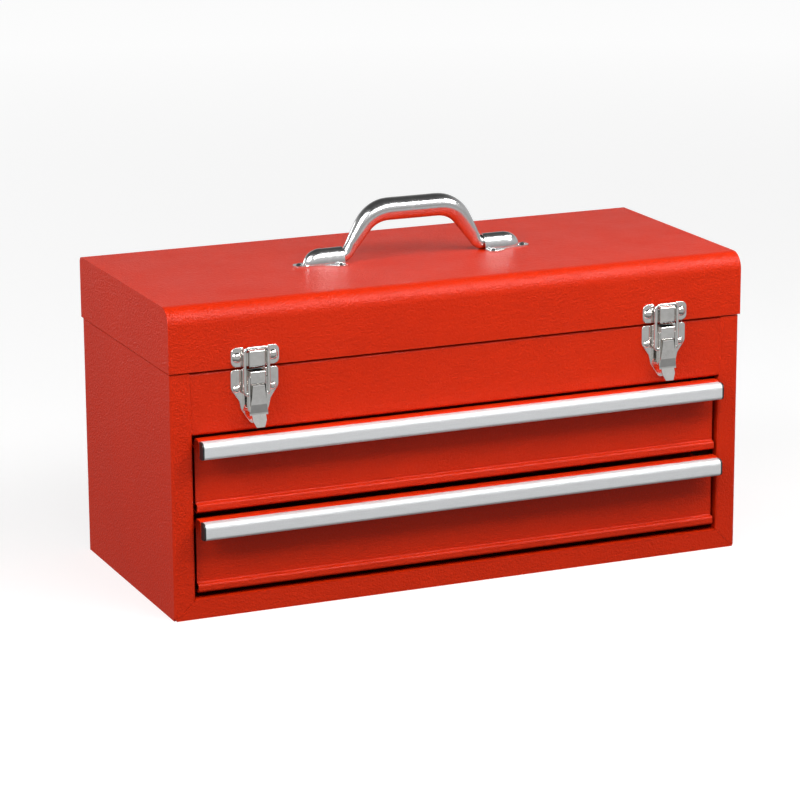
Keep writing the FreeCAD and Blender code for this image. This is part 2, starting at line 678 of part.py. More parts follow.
def lid_end(name, side):
    """End cap of the lid: a flat plate inside the wrap, with turned-in edges."""
    start = "lid_half - cap_flange" if side > 0 else "-lid_half"
    block = folded(name + "_block", "YZ_Plane", lid_section("lay_gap"), "cap_flange", start, False)
    inside = "lid_half - cap_flange - gauge" if side > 0 else "-lid_half + gauge"
    hollow = folded(name + "_hollow", "YZ_Plane", lid_section("(gauge + lay_gap)"), "cap_flange",
                    inside, False)
    return subtract(name, block, hollow)


# ---------------------------------------------------------------------------------------------- rivets

def rivets(label, spots, outward, head, grip, tail=True):
    """Domed rivets as a group of solids; each spot is the seat of a head, outward is the head's way."""
    shank = size("rivet_shank")
    rise = head * size("head_rise")
    ball = (head * head + rise * rise) / (2 * rise)
    crown = FreeCAD.Vector(0, 0, rise)
    flank_angle = math.asin(head / ball) / 2
    flank = FreeCAD.Vector(ball * math.sin(flank_angle), 0, rise - ball + ball * math.cos(flank_angle))
    end = -grip - (size("tail_height") if tail else 0)
    wide = size("tail_radius") if tail else shank
    corners = [FreeCAD.Vector(head, 0, 0), FreeCAD.Vector(shank, 0, 0), FreeCAD.Vector(shank, 0, -grip)]
    corners += [FreeCAD.Vector(wide, 0, -grip), FreeCAD.Vector(wide, 0, end)] if tail else []
    corners += [FreeCAD.Vector(0, 0, end), crown]
    edges = [Part.Arc(crown, flank, corners[0]).toShape()]
    edges += [Part.makeLine(a, b) for a, b in zip(corners, corners[1:])]
    one = Part.Face(Part.Wire(edges)).revolve(FreeCAD.Vector(0, 0, 0), FreeCAD.Vector(0, 0, 1), 360)
    turn = FreeCAD.Rotation(FreeCAD.Vector(0, 0, 1), outward)
    copies = []
    for spot in spots:
        copy = one.copy()
        copy.Placement = FreeCAD.Placement(FreeCAD.Vector(*spot), turn)
        copies.append(copy)
    thing = doc.addObject("Part::Feature", label)
    thing.Label = label
    thing.Shape = Part.Compound(copies)
    return thing


# --------------------------------------------------------------------------------------------- latches

def latch_base(name, way):
    """Shield-shaped plate on the fixed panel with the raised bridge that holds the lever's pin."""
    half = [
        ("latch_tip_half", "plate_top - latch_length", "latch_tip_half"),
        ("latch_neck_half", "plate_top - latch_neck", "ear_blend"),
        ("latch_waist_half", "plate_top - latch_waist", "ear_blend"),
        ("latch_half", "plate_top - latch_side", "ear_blend"),
        ("latch_half", "plate_top", "latch_drop + 2 * gauge"),
    ]
    mirrored = [(f"-{x}", y, r) for x, y, r in reversed(half)]
    body = folded(name, "XZ_Plane", half + mirrored, "bracket_gauge", "-panel_face", False)
    rim = sharp_front_edges(body.Tip, size("panel_face") - size("bracket_gauge"))
    round_edges(body, body.Tip, rim, "plate_round")
    bridge = rectangle("panel_face - bridge_reach", "panel_face - bracket_gauge / 2",
                       "plate_top - bridge_top - bridge_height", "plate_top - bridge_top")
    sketch = new_sketch(body, "YZ_Plane")
    outline(sketch, bridge)
    doc.recompute()
    pad = extrude(body, "Pad", sketch, "2 * bridge_half", True)
    rim = sharp_front_edges(pad, size("panel_face") - size("bridge_reach"))
    round_edges(body, pad, rim, "bracket_gauge")
    hollow = rectangle("-bridge_half + bracket_gauge", "bridge_half - bracket_gauge",
                       "plate_top - 2 * bridge_height", "plate_top + gauge")
    cut_outline(body, "XZ_Plane", hollow, "bridge_reach - 2 * bracket_gauge",
                "-panel_face + bracket_gauge", False, True)
    drill(body, "YZ_Plane", [("pivot_y", "pivot_z", "pivot_radius")], "4 * bridge_half")
    holes = [(f"{ear} * rivet_side", "plate_top - base_rivet_drop", "rivet_shank + rivet_fit")
             for ear in (-1, 1)]
    drill(body, "XZ_Plane", holes, "4 * bracket_gauge", "-panel_face")
    place(body, "x", f"{way} * latch_offset")
    return body


def lever_pin(name, way):
    body = new_body(name)
    sketch = new_sketch(body, "YZ_Plane")
    circle(sketch, "pivot_y", "pivot_z", "pivot_radius")
    doc.recompute()
    extrude(body, "Pad", sketch, "2 * lever_half + 2 * running_fit", True)
    place(body, "x", f"{way} * latch_offset")
    return body


def latch_lever(name, way):
    """Lever: a channel with two ears astride the bridge, a humped face and a flared finger tab."""
    heel = "pivot_z - lever_length"
    hump = "pivot_y - lever_hump"
    section = [
        ("pivot_y + lever_ear", "pivot_z + lever_ear", "lever_ear - lever_wall / 2"),
        ("pivot_y - lever_ear", "pivot_z + lever_ear", "lever_ear - lever_wall / 2"),
        ("pivot_y - lever_ear", "pivot_z - 2 * pivot_radius", "lever_ear"),
        (hump, "pivot_z - 2 * pivot_radius - lever_ear", "lever_ear"),
        (hump, f"{heel} + 2 * lever_hump", "lever_hump"),
        (f"{hump} + lever_wall", heel, "lever_ear"),
        (f"{hump} + lever_wall - tab_flare", f"{heel} - tab_length"),
        (f"{hump} + 2 * lever_wall - tab_flare", f"{heel} - tab_length - lever_wall / 3"),
        (f"{hump} + heel_depth", f"{heel} - lever_wall / 3", "lever_wall"),
        ("pivot_y + lever_ear", f"{heel} + 2 * lever_ear", "lever_wall"),
    ]
    body = folded(name, "YZ_Plane", section, "2 * lever_half")
    channel = [
        ("pivot_y - lever_ear + lever_wall", "pivot_z"),
        ("pivot_y - lever_ear + lever_wall", "pivot_z - 2 * pivot_radius"),
        (f"{hump} + lever_wall", "pivot_z - 2 * pivot_radius - lever_ear"),
        (f"{hump} + lever_wall", f"{heel} + 2 * lever_hump"),
        (f"{hump} + 2 * lever_wall", f"{heel} + lever_wall"),
        ("pivot_y + lever_ear + lever_wall", f"{heel} + lever_wall + lever_ear"),
        ("pivot_y + lever_ear + lever_wall", "pivot_z"),
    ]
    cut_outline(body, "YZ_Plane", channel, "2 * (lever_half - lever_wall)")
    straddle = rectangle("pivot_y - 2 * lever_hump", "pivot_y + 2 * lever_ear",
                         "plate_top - bridge_top - bridge_height - slide_gap", "pivot_z + 2 * lever_ear")
    cut_outline(body, "YZ_Plane", straddle, "2 * (lever_half - lever_wall)")
    for flip in ("", "-"):
        shoulder = [
            (f"{flip}face_half", "pivot_z + 2 * lever_ear"),
            (f"{flip}face_half", "pivot_z - 2 * pivot_radius"),
            (f"{flip}(lever_half - lever_wall / 2)", f"{heel} + 2 * lever_wall"),
            (f"{flip}(lever_half + lever_wall)", f"{heel} + 2 * lever_wall"),
            (f"{flip}(lever_half + lever_wall)", "pivot_z + 2 * lever_ear"),
        ]
        cut_outline(body, "XZ_Plane", shoulder, "2 * lever_hump", "-pivot_y + lever_ear - lever_wall / 2",
                    False, True)
        tab = [
            (f"{flip}tab_half", f"{heel} - lever_wall"),
            (f"{flip}tab_half", f"{heel} - tab_length / 2"),
            (f"{flip}(tab_half / 2)", f"{heel} - tab_length - lever_wall"),
            (f"{flip}(2 * lever_half)", f"{heel} - tab_length - lever_wall"),
            (f"{flip}(2 * lever_half)", f"{heel} - lever_wall"),
        ]
        cut_outline(body, "XZ_Plane", tab, "4 * bridge_reach", "-pivot_y")
    holes = [("pivot_y", "pivot_z", "pivot_radius + running_fit"),
             ("bail_y", "bail_z", "pivot_radius + running_fit")]
    drill(body, "YZ_Plane", holes, "4 * lever_half")
    place(body, "x", f"{way} * latch_offset")
    return body


def bent_path(corners, bends):
    """Straight runs joined by tangent arcs, as one wire; bends gives the radius at each inner corner."""
    edges = []
    start = corners[0]
    for before, corner, after, radius in zip(corners, corners[1:], corners[2:], bends):
        back_way = (before - corner).normalize()
        on_way = (after - corner).normalize()
        turn = math.pi - back_way.getAngle(on_way)
        reach = radius * math.tan(turn / 2)
        entry = corner + back_way * reach
        leave = corner + on_way * reach
        inward = (back_way + on_way).normalize()
        middle = corner + inward * (radius / math.cos(turn / 2) - radius)
        edges += [Part.makeLine(start, entry), Part.Arc(entry, middle, leave).toShape()]
        start = leave
    edges.append(Part.makeLine(start, corners[-1]))
    return Part.Wire(edges)


def latch_bail(name, way):
    """Wire bail: two legs, a bar over the strike's hook and feet turned into the lever."""
    leg = size("bail_half")
    foot = size("lever_half") - size("lever_wall") - size("running_fit")
    low = size("bail_z")
    high = size("bar_z")
    spots = [(-foot, low), (-leg, low), (-leg, high), (leg, high), (leg, low), (foot, low)]
    corners = [FreeCAD.Vector(x, size("bail_y"), z) for x, z in spots]
    bends = [size("bail_foot_bend"), size("bail_top_bend"), size("bail_top_bend"), size("bail_foot_bend")]
    path = bent_path(corners, bends)
    section = Part.Wire(Part.makeCircle(size("pivot_radius"), corners[0], FreeCAD.Vector(1, 0, 0)))
    thing = doc.addObject("Part::Feature", name)
    thing.Label = name
    thing.Shape = path.makePipeShell([section], True, False)
    place(thing, "x", f"{way} * latch_offset")
    return thing


def latch_strike(name, way):
    """Plate on the lid with two riveted ears and the hook that the bail's bar bears on."""
    half = [
        ("strike_half", "strike_z", "ear_radius"),
        ("strike_half", "strike_top", "ear_radius"),
        ("hook_half + 2 * gauge", "strike_top", "ear_radius - 2 * gauge"),
        ("hook_half + 2 * gauge", "strike_top - 2 * strike_notch"),
    ]
    mirrored = [(f"-({x[0]})",) + tuple(x[1:]) for x in reversed(half)]
    body = folded(name, "XZ_Plane", half + mirrored, "bracket_gauge", "-lid_front", False)
    rim = sharp_front_edges(body.Tip, size("lid_front") - size("bracket_gauge"))
    round_edges(body, body.Tip, rim, "plate_round")
    hook = rectangle("lid_front - hook_reach", "lid_front - bracket_gauge / 2", "strike_z", "hook_top")
    sketch = new_sketch(body, "YZ_Plane")
    outline(sketch, hook)
    doc.recompute()
    pad = extrude(body, "Pad", sketch, "2 * hook_half", True)
    rim = sharp_front_edges(pad, size("lid_front") - size("hook_reach"))
    round_edges(body, pad, rim, "hook_round")
    hollow = rectangle("-hook_half + bracket_gauge", "hook_half - bracket_gauge",
                       "strike_z - gauge", "hook_top - bracket_gauge")
    cut_outline(body, "XZ_Plane", hollow, "hook_reach - 2 * bracket_gauge",
                "-lid_front + bracket_gauge", False, True)
    holes = [(f"{ear} * rivet_side", "strike_top - strike_rivet_drop", "rivet_shank + rivet_fit")
             for ear in (-1, 1)]
    drill(body, "XZ_Plane", holes, "4 * bracket_gauge", "-lid_front")
    place(body, "x", f"{way} * latch_offset")
    return body


# ------------------------------------------------------------------------------------ carrying handle

def primitive(kind, label, **numbers):
    thing = doc.addObject("Part::" + kind, label)
    for prop, text in numbers.items():
        bind(thing, prop, text)
    return thing


def unite(label, shapes):
    fuse = doc.addObject("Part::MultiFuse", label)
    fuse.Label = label
    fuse.Shapes = shapes
    doc.recompute()
    return fuse


def hump(label, skin, spare):
    """Half-elliptic hump along X with a sloping nose; skin thickens it, spare runs it out of the mouth."""
    across = f"stub_radius + stub_gap + hump_spread + {skin}"
    rise = f"handle_z - lid_top + stub_radius + stub_gap + hump_crown + {skin}"
    section = primitive("Ellipse", label + "_section", MajorRadius=rise, MinorRadius=across)
    section.Placement.Rotation = FreeCAD.Rotation(FreeCAD.Vector(0, 1, 0), 90)
    nose = primitive("Ellipsoid", label + "_nose", Radius1=rise, Radius2=across,
                     Radius3=f"bracket_slope + {skin}")
    nose.Angle3 = 180
    nose.Placement.Rotation = FreeCAD.Rotation(FreeCAD.Vector(0, 0, 1), -90)
    for thing, x in ((section, f"bracket_mouth - {spare}"), (nose, "bracket_mouth + bracket_hump")):
        place(thing, "x", x)
        place(thing, "y", "handle_setback")
        place(thing, "z", "lid_top")
    run = primitive("Extrusion", label + "_run", LengthFwd=f"bracket_hump + {spare}")
    run.Base = section
    run.DirMode = "Custom"
    run.Dir = FreeCAD.Vector(1, 0, 0)
    run.Solid = True
    return unite(label, [run, nose])


def right_bracket(name):
    """Pressed bracket: a hump that holds one turned end of the handle, on a plate with three riveted ears."""
    ear = "handle_setback + bracket_ear_side + ear_radius"
    foot = "handle_setback + stub_radius + stub_gap + hump_spread + 2 * bracket_gauge"
    tip = "ear_radius - lay_gap"
    half = [
        ("bracket_mouth", ear, "ear_radius / 2"),
        ("bracket_ear + ear_radius", ear, tip),
        ("bracket_mouth + bracket_hump", foot, "ear_blend"),
        ("bracket_end + ear_radius", "handle_setback + ear_radius", tip),
    ]
    mirrored = [(x, f"2 * handle_setback - ({y})", bend) for x, y, bend in reversed(half)]
    plate = folded(name + "_plate", "XY_Plane", half + mirrored, "bracket_gauge", "lid_top", False)
    outside = hump(name + "_outside", "bracket_gauge", "0")
    inside = hump(name + "_inside", "0", "gauge")
    lid = primitive("Box", name + "_lid", Length="2 * bracket_end", Width="4 * bracket_ear_side",
                    Height="4 * bracket_ear_side")
    place(lid, "y", "handle_setback - 2 * bracket_ear_side")
    place(lid, "z", "lid_top - 4 * bracket_ear_side")
    blank = subtract(name + "_blank", unite(name + "_sheet", [plate, outside]), lid)
    pressed = subtract(name + "_pressed", blank, inside)
    spots = [
        ("bracket_end", "handle_setback"),
        ("bracket_ear", "handle_setback + bracket_ear_side"),
        ("bracket_ear", "handle_setback - bracket_ear_side"),
    ]
    holes = []
    for number, (x, y) in enumerate(spots):
        hole = primitive("Cylinder", f"{name}_hole{number}", Radius="rivet_shank + rivet_fit",
                         Height="6 * gauge")
        place(hole, "x", x)
        place(hole, "y", y)
        place(hole, "z", "lid_top - 2 * gauge")
        holes.append(hole)
    return subtract(name, pressed, unite(name + "_holes", holes))


def handle_brackets():
    """The right bracket and its mirror image on the left."""
    right = right_bracket("handle_bracket_right")
    left = doc.addObject("Part::Mirroring", "handle_bracket_left")
    left.Label = "handle_bracket_left"
    left.Source = right
    left.Normal = FreeCAD.Vector(1, 0, 0)
    doc.recompute()
    return [left, right]


def handle():
    """One bent tube: slim turned ends in the brackets, legs that swell, and a full round grip."""
    low = size("handle_z")
    high = low + size("handle_rise")
    foot = size("leg_foot")
    shoulder = foot - size("handle_rise") / math.tan(math.radians(size("leg_angle")))
    end = size("bracket_mouth") + size("stub_length")
    spots = [(-end, low), (-foot, low), (-shoulder, high), (shoulder, high), (foot, low), (end, low)]
    corners = [FreeCAD.Vector(x, size("handle_setback"), z) for x, z in spots]
    bends = [size("foot_bend"), size("grip_bend"), size("grip_bend"), size("foot_bend")]
    path = bent_path(corners, bends)
    rings = []
    slim = size("stub_radius")
    full = size("handle_radius")
    leg_turn = math.radians(size("leg_angle")) / 2
    leg_start = foot - size("foot_bend") * math.tan(leg_turn)
    grip_start = shoulder - size("grip_bend") * math.tan(leg_turn)
    for edge in path.Edges:
        for step in range(RINGS_PER_RUN):
            along = edge.FirstParameter + (edge.LastParameter - edge.FirstParameter) * step / RINGS_PER_RUN
            spot = edge.valueAt(along)
            share = (leg_start - abs(spot.x)) / (leg_start - grip_start)
            share = min(max(share, 0.0), 1.0)
            radius = slim + (full - slim) * share * (2 - share)
            rings.append((spot, edge.tangentAt(along), radius))
    rings.append((corners[-1], FreeCAD.Vector(1, 0, 0), slim))
    wall = size("handle_wall")
    skins = []
    for inset in (0, wall):
        wires = [Part.Wire(Part.makeCircle(radius - inset, spot, way)) for spot, way, radius in rings]
        skins.append(Part.makeLoft(wires, True, False))
    thing = doc.addObject("Part::Feature", "handle")
    thing.Label = "handle"
    thing.Shape = skins[0].cut(skins[1])
    return thing


# --------------------------------------------------------------------------------------------- drawers

def drawer_front(name, low):
    """Drawer front: rolled lip below, flat face, and a nose over the pull with a flange under it."""
    top = f"{low} + drawer_height"
    section = [
        ("face + lip_reach", low),
        ("face - lip_reach", low, "lip_bend"),
        ("face - lip_reach", f"{low} + lip_height", "lip_bend"),
        ("face", f"{low} + lip_height", "lip_bend - drawer_gauge"),
        ("face", f"{top} - drawer_gauge", "nose_bend - drawer_gauge"),
        ("face - nose_reach + drawer_gauge", f"{top} - drawer_gauge", "nose_bend - drawer_gauge"),
        ("face - nose_reach + drawer_gauge", f"{top} - nose_drop"),
        ("face - nose_reach", f"{top} - nose_drop"),
        ("face - nose_reach", top, "nose_bend"),
        ("face + drawer_gauge", top, "nose_bend"),
        ("face + drawer_gauge", f"{low} + lip_height - drawer_gauge", "lip_bend"),
        ("face - lip_reach + drawer_gauge", f"{low} + lip_height - drawer_gauge", "lip_bend - drawer_gauge"),
        ("face - lip_reach + drawer_gauge", f"{low} + drawer_gauge", "lip_bend - drawer_gauge"),
        ("face + lip_reach", f"{low} + drawer_gauge"),
    ]
    return folded(name, "YZ_Plane", section, "2 * front_half")


def drawer_pan(name, low):
    """Open pan behind the front; its turned-out flanges slide in the runners."""
    base = f"{low} + drawer_gauge"
    start = "face + drawer_gauge"
    bend = "corner_bend"
    block = folded(name + "_block", "XY_Plane",
                   rectangle("-pan_half", "pan_half", start, f"{start} + pan_length", bend),
                   "pan_height", base, False)
    inside = rectangle("-pan_half + drawer_gauge", "pan_half - drawer_gauge", f"{start} + drawer_gauge",
                       f"{start} + pan_length - drawer_gauge", "corner_bend - drawer_gauge")
    hollow = folded(name + "_hollow", "XY_Plane", inside, "pan_height", f"{base} + drawer_gauge", False)
    pan = subtract(name + "_pan", block, hollow)
    flanges = []
    for side in (-1, 1):
        flange = primitive("Box", f"{name}_flange{side + 1}", Length="slide_flange + drawer_gauge / 2",
                           Width="pan_length - 2 * corner_bend", Height="drawer_gauge")
        place(flange, "x", "pan_half - drawer_gauge / 2" if side > 0 else "-slide_half")
        place(flange, "y", f"{start} + corner_bend")
        place(flange, "z", f"{base} + pan_height - drawer_gauge")
        flanges.append(flange)
    return unite(name, [pan] + flanges)


def drawer_pull(name, low):
    """Aluminium channel clipped in front of the nose's flange."""
    top = f"{low} + drawer_height - pull_drop"
    section = [
        ("pull_back", top),
        ("pull_front", top, "pull_bend"),
        ("pull_front", f"{top} - pull_height", "pull_foot_bend"),
        ("pull_back", f"{top} - pull_height"),
        ("pull_back", f"{top} - pull_height + pull_wall"),
        ("pull_front + pull_wall", f"{top} - pull_height + pull_wall", "pull_foot_bend - pull_wall"),
        ("pull_front + pull_wall", f"{top} - pull_wall", "pull_bend - pull_wall"),
        ("pull_back", f"{top} - pull_wall"),
    ]
    return folded(name, "YZ_Plane", section, "2 * (front_half - pull_cap)")


def pull_cap(name, low, side):
    top = f"{low} + drawer_height - pull_drop"
    section = [
        ("pull_back", top),
        ("pull_front", top, "pull_bend"),
        ("pull_front", f"{top} - pull_height", "pull_foot_bend"),
        ("pull_back", f"{top} - pull_height"),
    ]
    start = "front_half - pull_cap" if side > 0 else "-front_half"
    return folded(name, "YZ_Plane", section, "pull_cap", start, False)


# ------------------------------------------------------------------------------------------------ tray

def tray_pan():
    """Open tray with a hem round its top edge."""
    bend = "corner_bend + tray_gauge"
    block = folded("tray_block", "XY_Plane",
                   rectangle("-tray_half + tray_gauge", "tray_half - tray_gauge",
                             "-tray_depth / 2 + tray_gauge", "tray_depth / 2 - tray_gauge", bend),
                   "tray_height", "tray_z", False)
    hem = folded("tray_hem_block", "XY_Plane",
                 rectangle("-tray_half", "tray_half", "-tray_depth / 2", "tray_depth / 2", bend),
                 "tray_hem", "tray_z + tray_height - tray_hem", False)
    hollow = folded("tray_hollow", "XY_Plane",
                    rectangle("-tray_half + 2 * tray_gauge", "tray_half - 2 * tray_gauge",
                              "-tray_depth / 2 + 2 * tray_gauge", "tray_depth / 2 - 2 * tray_gauge",
                              "corner_bend - tray_gauge"), "tray_height", "tray_z + tray_gauge", False)
    pan = subtract("tray_blank", unite("tray_solid", [block, hem]), hollow)
    holes = []
    for number, spot in enumerate(tray_rivet_spots()):
        hole = primitive("Cylinder", f"tray_hole{number}", Radius="rivet_shank + rivet_fit",
                         Height="3 * tray_gauge")
        place(hole, "x", spot)
        place(hole, "z", "tray_z - tray_gauge")
        holes.append(hole)
    return subtract("tray_pan", pan, unite("tray_holes", holes))


def tray_rivet_spots():
    return [f"{side} * (tray_handle_length / 2 + tray_handle_foot / 2)" for side in (-1, 1)]


def tray_handle():
    """Strap bent to an inverted U, with a riveted foot at each end."""
    floor = "tray_z + tray_gauge"
    half = [
        ("tray_handle_length / 2 + tray_handle_foot", floor),
        ("tray_handle_length / 2 + tray_handle_foot", f"{floor} + tray_handle_gauge"),
        ("tray_handle_length / 2", f"{floor} + tray_handle_gauge", "tray_handle_gauge"),
        ("tray_handle_length / 2", f"{floor} + tray_handle_height", "tray_handle_bend"),
    ]
    inner = [
        ("tray_handle_length / 2 - tray_handle_gauge", f"{floor} + tray_handle_height - tray_handle_gauge",
         "tray_handle_bend - tray_handle_gauge"),
        ("tray_handle_length / 2 - tray_handle_gauge", floor, "2 * tray_handle_gauge"),
    ]
    outer_left = [("-" + corner[0].replace(" + ", " - ").replace("-tray", "tray"),) + tuple(corner[1:])
                  for corner in reversed(half)]
    inner_left = [("-(" + corner[0] + ")",) + tuple(corner[1:]) for corner in reversed(inner)]
    body = folded("tray_handle", "XZ_Plane", half + outer_left + inner_left + inner, "tray_handle_width")
    holes = [(spot, "0", "rivet_shank + rivet_fit") for spot in tray_rivet_spots()]
    drill(body, "XY_Plane", holes, "4 * tray_handle_gauge", floor)
    return body


# -------------------------------------------------------------------------------------------- assembly

def rivet_groups():
    """Rivets of the latch bases, strikes, brackets and tray handle, each kind one group."""
    forward = FreeCAD.Vector(0, -1, 0)
    upward = FreeCAD.Vector(0, 0, 1)
    plate = size("bracket_gauge")
    across = [way * size("latch_offset") + ear * size("rivet_side") for way in (-1, 1) for ear in (-1, 1)]
    base_z = size("plate_top") - size("base_rivet_drop")
    strike_z = size("strike_top") - size("strike_rivet_drop")
    bases = [(x, size("panel_face") - plate, base_z) for x in across]
    strikes = [(x, size("lid_front") - plate, strike_z) for x in across]
    brackets = []
    for side in (-1, 1):
        ear = size("bracket_ear")
        ear_side = size("bracket_ear_side")
        for x, y in ((size("bracket_end"), 0), (ear, ear_side), (ear, -ear_side)):
            brackets.append((side * x, size("handle_setback") + y, size("lid_top") + plate))
    foot = (size("tray_handle_length") + size("tray_handle_foot")) / 2
    strap_top = size("tray_z") + size("tray_gauge") + size("tray_handle_gauge")
    straps = [(side * foot, 0, strap_top) for side in (-1, 1)]
    sheet = size("gauge")
    return [
        rivets("latch_base_rivets", bases, forward, size("latch_rivet_head"), plate + sheet),
        rivets("latch_strike_rivets", strikes, forward, size("strike_rivet_head"), plate + sheet),
        rivets("handle_bracket_rivets", brackets, upward, size("bracket_rivet_head"), plate + sheet),
        rivets("tray_handle_rivets", straps, upward, size("bracket_rivet_head"),
               size("tray_handle_gauge") + size("tray_gauge"), False),
    ]


def build_all():
    nodes = [case_wrap(), bottom_pan(), front_panel(), compartment_floor()]
    nodes += [hinge_leaf("hinge_case_leaf", False), hinge_leaf("hinge_lid_leaf", True)]
    nodes += [hinge_pin(), lid_wrap()]
    for side, word in ((-1, "left"), (1, "right")):
        nodes.append(tray_ledge("tray_ledge_" + word, side))
        nodes.append(lid_end("lid_end_" + word, side))
        nodes.append(latch_base("latch_base_" + word, side))
        nodes.append(lever_pin("latch_pin_" + word, side))
        nodes.append(latch_lever("latch_lever_" + word, side))
        nodes.append(latch_bail("latch_bail_" + word, side))
        nodes.append(latch_strike("latch_strike_" + word, side))
    for drawer in ("upper", "lower"):
        low = drawer + "_drawer"
        nodes.append(drawer_front(f"{drawer}_drawer_front", low))
        nodes.append(drawer_pan(f"{drawer}_drawer_pan", low))
        nodes.append(drawer_pull(f"{drawer}_drawer_pull", low))
        for side, word in ((-1, "left"), (1, "right")):
            nodes.append(pull_cap(f"{drawer}_pull_cap_{word}", low, side))
            nodes.append(drawer_runner(f"{drawer}_runner_{word}", side, low))
    nodes += handle_brackets()
    nodes += [handle(), tray_pan(), tray_handle()]
    return nodes + rivet_groups()


def write_nodes(nodes):
    """Check the whole document and every node, then write one file for each."""
    doc.recompute()
    failed = [thing.Name for thing in doc.Objects if "Invalid" in thing.State or "Error" in thing.State]
    if failed:
        raise RuntimeError(f"failed objects: {failed}")
    for node in nodes:
        if node.Shape.isNull() or not node.Shape.isValid():
            raise RuntimeError(f"bad shape: {node.Label}")
    os.makedirs("parts", exist_ok=True)
    for node in nodes:
        node.Shape.exportStep(f"parts/{node.Label}.step")
        box = node.Shape.BoundBox
        reach = f"x {box.XMin:.1f} {box.XMax:.1f} y {box.YMin:.1f} {box.YMax:.1f}"
        print(f"{node.Label:24s} {len(node.Shape.Solids)} solid(s) {node.Shape.Volume:10.1f} mm3 "
              f"{reach} z {box.ZMin:.1f} {box.ZMax:.1f}")


fill_sheets()
write_nodes(build_all())
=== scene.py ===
"""Looks, light and camera for the portable steel tool chest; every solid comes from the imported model."""

import json
import math

import bpy
from mathutils import Matrix, Vector


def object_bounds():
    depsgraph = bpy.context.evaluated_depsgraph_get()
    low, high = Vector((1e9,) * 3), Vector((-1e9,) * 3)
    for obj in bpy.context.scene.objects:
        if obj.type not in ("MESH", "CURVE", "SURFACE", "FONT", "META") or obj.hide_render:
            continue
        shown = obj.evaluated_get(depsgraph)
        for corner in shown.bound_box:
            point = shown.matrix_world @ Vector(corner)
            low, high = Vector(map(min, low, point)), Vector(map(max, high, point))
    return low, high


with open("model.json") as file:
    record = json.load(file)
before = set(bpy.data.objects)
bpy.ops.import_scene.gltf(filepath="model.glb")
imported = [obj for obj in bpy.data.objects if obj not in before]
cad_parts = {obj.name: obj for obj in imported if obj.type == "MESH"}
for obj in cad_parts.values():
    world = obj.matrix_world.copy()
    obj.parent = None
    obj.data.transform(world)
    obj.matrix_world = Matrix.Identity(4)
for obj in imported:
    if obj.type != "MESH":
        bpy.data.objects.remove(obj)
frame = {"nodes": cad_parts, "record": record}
cad_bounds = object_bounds()

# where a colour Mix node keeps its sockets
MIX_SHARE, MIX_FIRST, MIX_SECOND, MIX_RESULT = 0, 6, 7, 2

# ------------------------------------------------------------------------------------------- node helpers


class Look:
    """A material being made: short calls for the nodes that the finishes share."""

    def __init__(self, name):
        self.material = bpy.data.materials.new(name)
        self.material.use_nodes = True
        self.tree = self.material.node_tree
        self.shader = self.tree.nodes["Principled BSDF"]
        self.place = self.add("ShaderNodeTexCoord").outputs["Object"]

    def add(self, kind, **inputs):
        """A node; each input is a number, a colour or the output of another node."""
        node = self.tree.nodes.new(kind)
        for name, value in inputs.items():
            self.feed(node, name.replace("_", " "), value)
        return node

    def feed(self, node, socket, value):
        """Set or link the input called socket, a name or a number."""
        if isinstance(value, bpy.types.NodeSocket):
            self.tree.links.new(value, node.inputs[socket])
        else:
            node.inputs[socket].default_value = value

    def surface(self, **inputs):
        for name, value in inputs.items():
            self.feed(self.shader, name.replace("_", " "), value)

    def stretched(self, along):
        """The piece's own coordinates, scaled apart for each axis, in features per metre."""
        mapping = self.add("ShaderNodeMapping", Vector=self.place, Scale=along)
        return mapping.outputs["Vector"]

    def noise(self, scale, detail=2.0, roughness=0.5, place=None):
        node = self.add("ShaderNodeTexNoise", Vector=place or self.place, Scale=scale, Detail=detail,
                        Roughness=roughness)
        return node.outputs["Fac"]

    def cells(self, scale, output="Distance"):
        node = self.add("ShaderNodeTexVoronoi", Vector=self.place, Scale=scale)
        return node.outputs[output]

    def spread(self, value, low, high, start=0.3, end=0.7):
        """A value between start and end, mapped to low and high and clamped there."""
        node = self.add("ShaderNodeMapRange", Value=value, From_Min=start, From_Max=end, To_Min=low,
                        To_Max=high)
        return node.outputs["Result"]

    def blend(self, share, first, second, kind="MIX"):
        node = self.tree.nodes.new("ShaderNodeMix")
        node.data_type = "RGBA"
        node.blend_type = kind
        for socket, value in ((MIX_SHARE, share), (MIX_FIRST, first), (MIX_SECOND, second)):
            self.feed(node, socket, value)
        return node.outputs[MIX_RESULT]

    def sum(self, first, second, share):
        """first plus share times second."""
        node = self.add("ShaderNodeMath")
        node.operation = "MULTIPLY_ADD"
        for socket, value in enumerate((second, share, first)):
            self.feed(node, socket, value)
        return node.outputs["Value"]

    def relief(self, height, depth, strength):
        """Bump from a height between 0 and 1, depth metres tall."""
        node = self.add("ShaderNodeBump", Height=height, Distance=depth, Strength=strength)
        return node.outputs["Normal"]


def rgb(red, green, blue):
    return (red, green, blue, 1.0)


# --------------------------------------------------------------------------------------------- materials

PAINT_RED = rgb(0.62, 0.0215, 0.0008)
PAINT_RED_THIN = rgb(0.74, 0.0400, 0.0035)
PAINT_RED_DEEP = rgb(0.54, 0.0165, 0.0006)
# the paint's texture, in features per metre, and how far it stands out, in metres
PEEL_SCALE = 520.0
PIT_SCALE = 760.0
GRAIN_SCALE = 1500.0
PEEL_DEPTH = 0.00062
PAINT_ROUGHNESS = 0.33
WEAR_ROUGHNESS = 0.09

